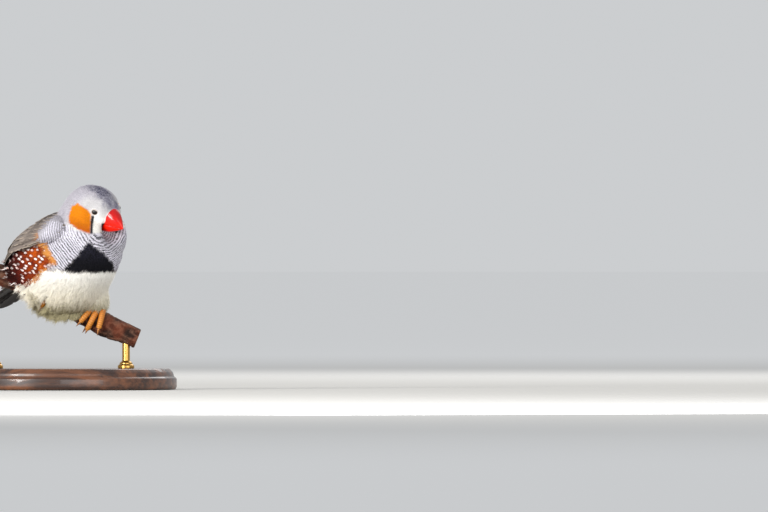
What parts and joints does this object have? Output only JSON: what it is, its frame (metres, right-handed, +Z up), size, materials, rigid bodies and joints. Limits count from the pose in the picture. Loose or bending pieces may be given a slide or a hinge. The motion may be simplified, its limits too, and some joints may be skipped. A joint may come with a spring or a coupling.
{
  "type": "songbird model on a perch",
  "caption": "Life-size male zebra finch, fluffed up and at rest on a cut length of twig, held by two rods over a flat round base.",
  "frame": {"origin": "centre of the round base's underside, on the surface it stands on", "axes": "+Z up; +X along the perch, towards its lower end, the picture's right; -Y towards the viewer of the picture"},
  "size_m": [0.092, 0.092, 0.0784],
  "materials": {
    "head_feathers": "soft feathers, light blue-grey",
    "throat_feathers": "soft feathers, finely barred black on pale grey",
    "belly_feathers": "soft fluffed feathers, white to cream",
    "wing_feathers": "folded flight feathers, grey-brown with paler edges",
    "tail_feathers": "black tail feathers, the coverts over them barred white",
    "bill": "glossy red horn",
    "eye": "wet and dark, with a red-brown rim",
    "foot_scales": "orange scaled skin",
    "claw": "pale brown horn",
    "bark": "rough dark bark",
    "stand_wood": "turned and oiled dark wood",
    "stand_metal": "plain rod"
  },
  "bodies": {
    "root": {"bill_lower": "bill", "bill_upper": "bill", "claw_left_hind": "claw", "claw_left_inner": "claw", "claw_left_middle": "claw", "claw_left_outer": "claw", "claw_right_hind": "claw", "claw_right_inner": "claw", "claw_right_middle": "claw", "claw_right_outer": "claw", "eye_left": "eye", "eye_right": "eye", "head": "head_feathers", "leg_left": "foot_scales", "leg_right": "foot_scales", "neck": "throat_feathers", "perch": "bark", "stand_base": "stand_wood", "stand_rod_1": "stand_metal", "stand_rod_2": "stand_metal", "tail": "tail_feathers", "toe_left_hind": "foot_scales", "toe_left_inner": "foot_scales", "toe_left_middle": "foot_scales", "toe_left_outer": "foot_scales", "toe_right_hind": "foot_scales", "toe_right_inner": "foot_scales", "toe_right_middle": "foot_scales", "toe_right_outer": "foot_scales", "torso": "belly_feathers", "wing_left": "wing_feathers", "wing_right": "wing_feathers"}
  },
  "joints": []
}
